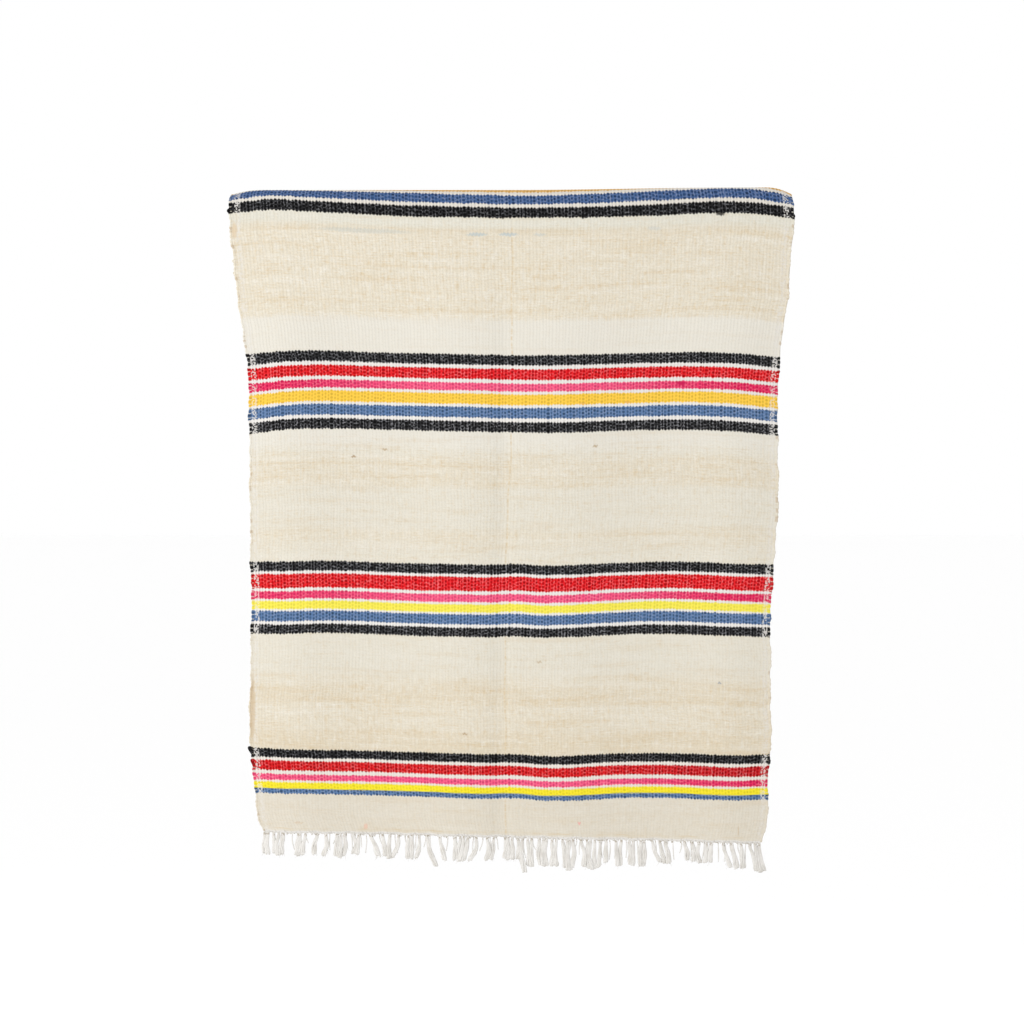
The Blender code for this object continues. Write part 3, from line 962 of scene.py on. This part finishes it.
# Fringe bundles of the front hem: middle, strands, pitch at root and tip, lean to the right, hanging length
Bundle = namedtuple("Bundle", "middle strands root_pitch tip_pitch lean length")
BUNDLES = (
    Bundle(-0.561, 2, 0.0090, 0.0080, -0.002, 0.055),
    Bundle(-0.535, 3, 0.0100, 0.0060, -0.002, 0.055),
    Bundle(-0.483, 3, 0.0090, 0.0070, -0.006, 0.055),
    Bundle(-0.448, 1, 0.0000, 0.0000, -0.009, 0.052),
    Bundle(-0.428, 1, 0.0000, 0.0000, -0.005, 0.052),
    Bundle(-0.396, 3, 0.0100, 0.0095, -0.001, 0.057),
    Bundle(-0.359, 2, 0.0130, 0.0070, -0.001, 0.050),
    Bundle(-0.327, 1, 0.0000, 0.0000, 0.020, 0.053),
    Bundle(-0.281, 3, 0.0190, 0.0075, -0.004, 0.058),
    Bundle(-0.228, 3, 0.0130, 0.0110, -0.005, 0.058),
    Bundle(-0.198, 1, 0.0000, 0.0000, 0.021, 0.074),
    Bundle(-0.166, 1, 0.0000, 0.0000, 0.011, 0.057),
    Bundle(-0.117, 4, 0.0100, 0.0060, -0.006, 0.061),
    Bundle(-0.084, 1, 0.0000, 0.0000, -0.015, 0.057),
    Bundle(-0.050, 2, 0.0180, 0.0100, -0.006, 0.056),
    Bundle(-0.005, 4, 0.0100, 0.0100, 0.000, 0.055),
    Bundle(0.019, 1, 0.0000, 0.0000, 0.006, 0.080),
    Bundle(0.038, 2, 0.0090, 0.0060, 0.001, 0.069),
    Bundle(0.069, 3, 0.0090, 0.0065, 0.000, 0.068),
    Bundle(0.096, 2, 0.0090, 0.0085, 0.000, 0.066),
    Bundle(0.126, 4, 0.0090, 0.0060, 0.002, 0.075),
    Bundle(0.178, 5, 0.0105, 0.0075, 0.002, 0.072),
    Bundle(0.214, 1, 0.0000, 0.0000, 0.000, 0.055),
    Bundle(0.244, 2, 0.0140, 0.0060, 0.000, 0.064),
    Bundle(0.273, 2, 0.0110, 0.0060, 0.001, 0.061),
    Bundle(0.299, 2, 0.0090, 0.0060, -0.001, 0.063),
    Bundle(0.336, 3, 0.0160, 0.0110, 0.014, 0.056),
    Bundle(0.430, 5, 0.0160, 0.0130, 0.000, 0.051),
    Bundle(0.506, 3, 0.0200, 0.0140, 0.012, 0.062),
    Bundle(0.559, 3, 0.0120, 0.0080, 0.014, 0.068),
)
HEM_LOOP_SHARE = 0.75            # ribs whose warp turn shows below the hem
BACK_STRANDS = 73
BACK_STRAND_LENGTH = 0.060
LOCK_RADIUS = 0.0034             # from the middle of a lock to its outer yarns
LOCK_FLATNESS = 0.30             # its depth beside its width
LOCK_TWIST = 2.4                 # how far the yarns of one lock wind round it, in radians
YARNS = 5                        # yarns in one lock
YARN_RADIUS = 0.0027
YARN_STEP = 0.0035
PLY_TWIST = 0.022                # length of one full twist of a hem cord's two yarns
PLY_RADIUS = 0.0012              # one of these yarns
HEM_CORD_POINTS = 560
HEM_CORD_INSET = 0.002           # its ends lie that far inside the cloth's edges
HEM_LOOP_RADIUS = 0.0011
HEM_LOOP_HALF_WIDTHS = (0.0010, 0.0026)
HEM_LOOP_REACHES = (0.0025, 0.0085)
ROOT_OVERLAP = 0.002             # how far a lock's root lies above the hem's line
FIBRES = 6                       # loose fibres at a lock's end
FIBRE_RADII = (0.0005, 0.0003)   # where it leaves the lock and at its tip
STRAYS = 70                      # single thin yarns that hang between the locks
STRAY_LENGTHS = (0.026, 0.052)
STRAY_RADII = (0.0010, 0.0016, 0.0011)


def front_strands():
    strands = []
    for bundle in BUNDLES:
        for number in range(bundle.strands):
            offset = number - (bundle.strands - 1) / 2
            root = bundle.middle + offset * bundle.root_pitch
            tip = bundle.middle + bundle.lean + offset * bundle.tip_pitch
            strands.append((root, tip, bundle.length * (1.0 - 0.05 * abs(offset))))
    return strands


def back_strands():
    left, right = half_widths(np.array([BACK_DROP]), np.array([-BACK_DROP]), np.array([False]))
    half_width = min(left[0], right[0])
    roots = np.linspace(-half_width + 0.006, half_width - 0.006, BACK_STRANDS)
    return [(root, root + 0.004 * math.sin(number * 0.9),
             BACK_STRAND_LENGTH * (1.0 + 0.08 * math.sin(number * 2.3)))
            for number, root in enumerate(roots)]


def hem_ends(side):
    """Places across of a hem's two ends."""
    both = np.array([-1.0, 1.0])
    return hung_points(both, hem_along(side, both))[:, 0]


def hem_points(side, xs):
    """Points of a hem line at the given places across."""
    left, right = hem_ends(side)
    across = (np.asarray(xs) - left) / (right - left) * 2.0 - 1.0
    return hung_points(across, hem_along(side, across))


def set_hem_below(yarn, side):
    """Stores how far each point of a fringe or hem cord lies below its hem."""
    places = vertex_places(yarn.data)
    set_hem(yarn.data, hem_points(side, places[:, 0])[:, 2] - places[:, 2])


def plies(centre, radius):
    """Two yarns wound round a centreline."""
    lengths = np.concatenate([[0.0], np.cumsum(np.linalg.norm(np.diff(centre, axis=0), axis=1))])
    forward = np.gradient(centre, axis=0)
    forward /= np.linalg.norm(forward, axis=1)[:, None]
    side = np.cross(forward, (0.0, 1.0, 0.0))
    side /= np.linalg.norm(side, axis=1)[:, None]
    front = np.cross(forward, side)
    made = []
    for ply in (0.0, math.pi):
        angle = ply + 2.0 * math.pi * lengths / PLY_TWIST
        points = centre + 0.85 * radius * (np.cos(angle)[:, None] * side + np.sin(angle)[:, None] * front)
        made.append((points, np.full(len(points), radius)))
    return made


def lock_yarns(centre, full, spread, chance):
    """The thick, soft yarns of one lock, wound loosely round its centreline. full is the lock's radius and
    spread the share of it along the way."""
    made = []
    share = np.linspace(0.0, 1.0, len(centre))
    start = chance.uniform(0.0, 2.0 * math.pi)
    turned = LOCK_TWIST * chance.choice((-1.0, 1.0)) * chance.uniform(0.6, 1.3)
    for number in range(YARNS):
        angle = start + 2.0 * math.pi * number / YARNS + turned * share
        reach = full * chance.uniform(0.85, 1.1)
        sway = 0.0005 * np.sin(share * chance.uniform(5.0, 11.0) + chance.uniform(0.0, 6.0))
        points = centre.copy()
        points[:, 0] += (reach * np.cos(angle) + sway) * spread
        points[:, 1] += reach * np.sin(angle) * LOCK_FLATNESS * spread
        points[:, 2] -= chance.uniform(-0.002, 0.002) * share
        taper = np.interp(share, (0.0, 0.25, 0.94, 1.0), (0.50, 0.80, 1.08, 0.80))
        made.append((points, YARN_RADIUS * chance.uniform(0.88, 1.12) * taper))
    return made


def make_fringe(name, side, strands, cotton, seed):
    """Soft locks of warp yarns, thin at the root and fuller towards a blunt, frayed end."""
    chance = random.Random(seed)
    roots = hem_points(side, [root for root, _tip, _length in strands])
    tubes = []
    for (root, tip, length), start in zip(strands, roots):
        steps = max(int(length / YARN_STEP), 8)
        share = np.linspace(0.0, 1.0, steps)
        bow = chance.uniform(-0.004, 0.004)
        curl = chance.uniform(-0.002, 0.002)
        sway = chance.uniform(-0.003, 0.003)
        centre = np.empty((steps, 3))
        centre[:, 0] = start[0] + (tip - root) * share ** 1.4 + bow * np.sin(np.pi * share)
        centre[:, 0] += curl * np.sin(2.6 * np.pi * share)
        centre[:, 1] = start[1] + sway * share ** 2
        centre[:, 2] = start[2] + ROOT_OVERLAP - (length + ROOT_OVERLAP) * share
        spread = curve_through(share, (0.0, 0.2, 0.5, 0.85, 1.0), (0.35, 0.60, 0.90, 1.10, 1.00))
        full = LOCK_RADIUS * chance.uniform(0.85, 1.15)
        tubes += lock_yarns(centre, full, spread, chance)
        for _fibre in range(FIBRES):
            tubes.append(loose_fibre(centre, full, chance))
    for place in np.linspace(roots[0][0], roots[-1][0], STRAYS):
        start = hem_points(side, [place + chance.uniform(-0.005, 0.005)])[0]
        tubes.append(stray_yarn(start, chance))
    fringe = yarn_object(name, tubes, 6, cotton)
    set_hem_below(fringe, side)
    return fringe


def stray_yarn(start, chance):
    """One thin yarn that hangs by itself and curls a little."""
    share = np.linspace(0.0, 1.0, 12)
    length = chance.uniform(*STRAY_LENGTHS)
    points = np.tile(start, (12, 1))
    points[:, 0] += chance.uniform(-0.006, 0.006) * share
    points[:, 0] += chance.uniform(-0.003, 0.003) * np.sin(share * chance.uniform(2.0, 5.0))
    points[:, 1] += chance.uniform(-0.0015, 0.0015) * share
    points[:, 2] += 0.001 - length * share
    return points, np.interp(share, (0.0, 0.5, 1.0), STRAY_RADII)


def loose_fibre(centre, full, chance):
    """One thin fibre that leaves a lock near its end and curls away."""
    leaves = int(len(centre) * chance.uniform(0.55, 0.9))
    share = np.linspace(0.0, 1.0, 5)[:, None]
    away_x = chance.uniform(-0.006, 0.006)
    away_y = chance.uniform(-0.002, 0.002)
    away = np.array([away_x, away_y, -chance.uniform(0.006, 0.014)])
    side = np.array([chance.uniform(-1.0, 1.0) * full, chance.uniform(-0.6, 0.6) * full, 0.0])
    points = centre[leaves] + side * share ** 0.5 + away * share
    points[:, 0] += 0.0015 * np.sin(share[:, 0] * chance.uniform(2.0, 5.0))
    return points, np.linspace(*FIBRE_RADII, 5)


def hem_loops(side, first, last, chance):
    """Small turns of warp that show below the hem between the locks, one to a rib where any show."""
    loops = []
    for place in np.linspace(first, last, RIBS):
        if chance.random() > HEM_LOOP_SHARE:
            continue
        half_width = chance.uniform(*HEM_LOOP_HALF_WIDTHS)
        reach = chance.uniform(*HEM_LOOP_REACHES)
        turn = np.linspace(0.0, math.pi, 7)
        middle = place + chance.uniform(-0.002, 0.002)
        points = hem_points(side, middle - half_width * np.cos(turn))
        points[:, 2] += 0.0015 - reach * np.sin(turn)
        points[:, 1] += chance.uniform(-0.0010, 0.0010)
        loops.append((points, np.full(len(turn), HEM_LOOP_RADIUS)))
    return loops


def make_hem_cord(name, side, cotton):
    """The twined row that locks the hem above the fringe, and the warp's own turns below it."""
    left, right = hem_ends(side)
    first = left + HEM_CORD_INSET
    last = right - HEM_CORD_INSET
    xs = np.linspace(first, last, HEM_CORD_POINTS)
    centre = hem_points(side, xs)
    centre[:, 2] += 0.0004 * np.sin(xs * 210.0) - 0.0010
    loops = hem_loops(side, first + 0.003, last - 0.003, random.Random(21))
    cord = yarn_object(name, plies(centre, PLY_RADIUS) + loops, 6, cotton)
    set_hem_below(cord, side)
    return cord


def declare_pieces(cloth, edges, cords, fringes):
    for piece in (cloth, *edges):
        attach(piece, "root")
    for piece in (*cords, *fringes):
        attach(piece, "root")
    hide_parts("rug_cloth")
    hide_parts("front_fringe")
    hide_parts("back_fringe")


# Photograph: metres in one pixel at the front drop, the row of the crest and the column of mid width
PIXEL = 0.0023
CREST_PIXEL = 188.8
MIDDLE_PIXEL = 511.0
IMAGE_PIXELS = 1024
CAMERA_DISTANCE = 6.0
FLOOR_LEVEL = -2.6


def make_camera():
    """A level view straight at the front drop, framed as the photograph is."""
    camera = bpy.data.cameras.new("camera")
    camera.sensor_width = 36.0
    camera.lens = camera.sensor_width * CAMERA_DISTANCE / (PIXEL * IMAGE_PIXELS)
    view = bpy.data.objects.new("camera", camera)
    centre = IMAGE_PIXELS / 2
    height = THICKNESS - (centre - CREST_PIXEL) * PIXEL
    view.location = ((centre - MIDDLE_PIXEL) * PIXEL, -FOLD_RADIUS - CAMERA_DISTANCE, height)
    view.rotation_euler = (math.pi / 2, 0.0, 0.0)
    bpy.context.scene.collection.objects.link(view)
    bpy.context.scene.camera = view


def area_light(name, place, aim, size, power):
    light = bpy.data.lights.new(name, "AREA")
    light.shape = "SQUARE"
    light.size = size
    light.energy = power
    lamp = bpy.data.objects.new(name, light)
    lamp.location = place
    lamp.rotation_euler = (Vector(aim) - Vector(place)).to_track_quat("-Z", "Y").to_euler()
    bpy.context.scene.collection.objects.link(lamp)


def make_studio():
    """A pale floor and an even, soft white light with a little more from the upper left."""
    scene = bpy.context.scene
    scene.view_settings.view_transform = "Standard"
    world = bpy.data.worlds.new("studio")
    world.use_nodes = True
    background = world.node_tree.nodes["Background"]
    background.inputs["Color"].default_value = (1.0, 1.0, 1.0, 1.0)
    background.inputs["Strength"].default_value = 1.0
    scene.world = world
    area_light("soft key", (-3.6, -3.4, 0.0), (0.0, 0.0, -0.8), 3.0, 90.0)
    area_light("back fill", (1.8, 3.2, 1.2), (0.0, 0.0, -0.7), 2.5, 45.0)
    deselect()
    bpy.ops.mesh.primitive_plane_add(size=400.0, location=(0.0, 0.0, FLOOR_LEVEL))
    floor = bpy.context.object
    floor.name = "pale_floor"
    pale = bpy.data.materials.new("Pale floor")
    pale.use_nodes = True
    surface = pale.node_tree.nodes["Principled BSDF"]
    surface.inputs["Base Color"].default_value = (0.99, 0.99, 0.99, 1.0)
    surface.inputs["Roughness"].default_value = 0.9
    floor.data.materials.append(pale)


make_camera()
wool = weave_finish()
cotton = yarn_finish()
rug = make_cloth(wool)
selvedges = [make_selvedge("left_selvedge", -1, wool), make_selvedge("right_selvedge", 1, wool)]
hem_cords = [make_hem_cord("front_hem_cord", "front", cotton), make_hem_cord("back_hem_cord", "back", cotton)]
fringes = [make_fringe("front_plied_fringe", "front", front_strands(), cotton, 11),
           make_fringe("back_plied_fringe", "back", back_strands(), cotton, 12)]
declare_pieces(rug, selvedges, hem_cords, fringes)
make_studio()
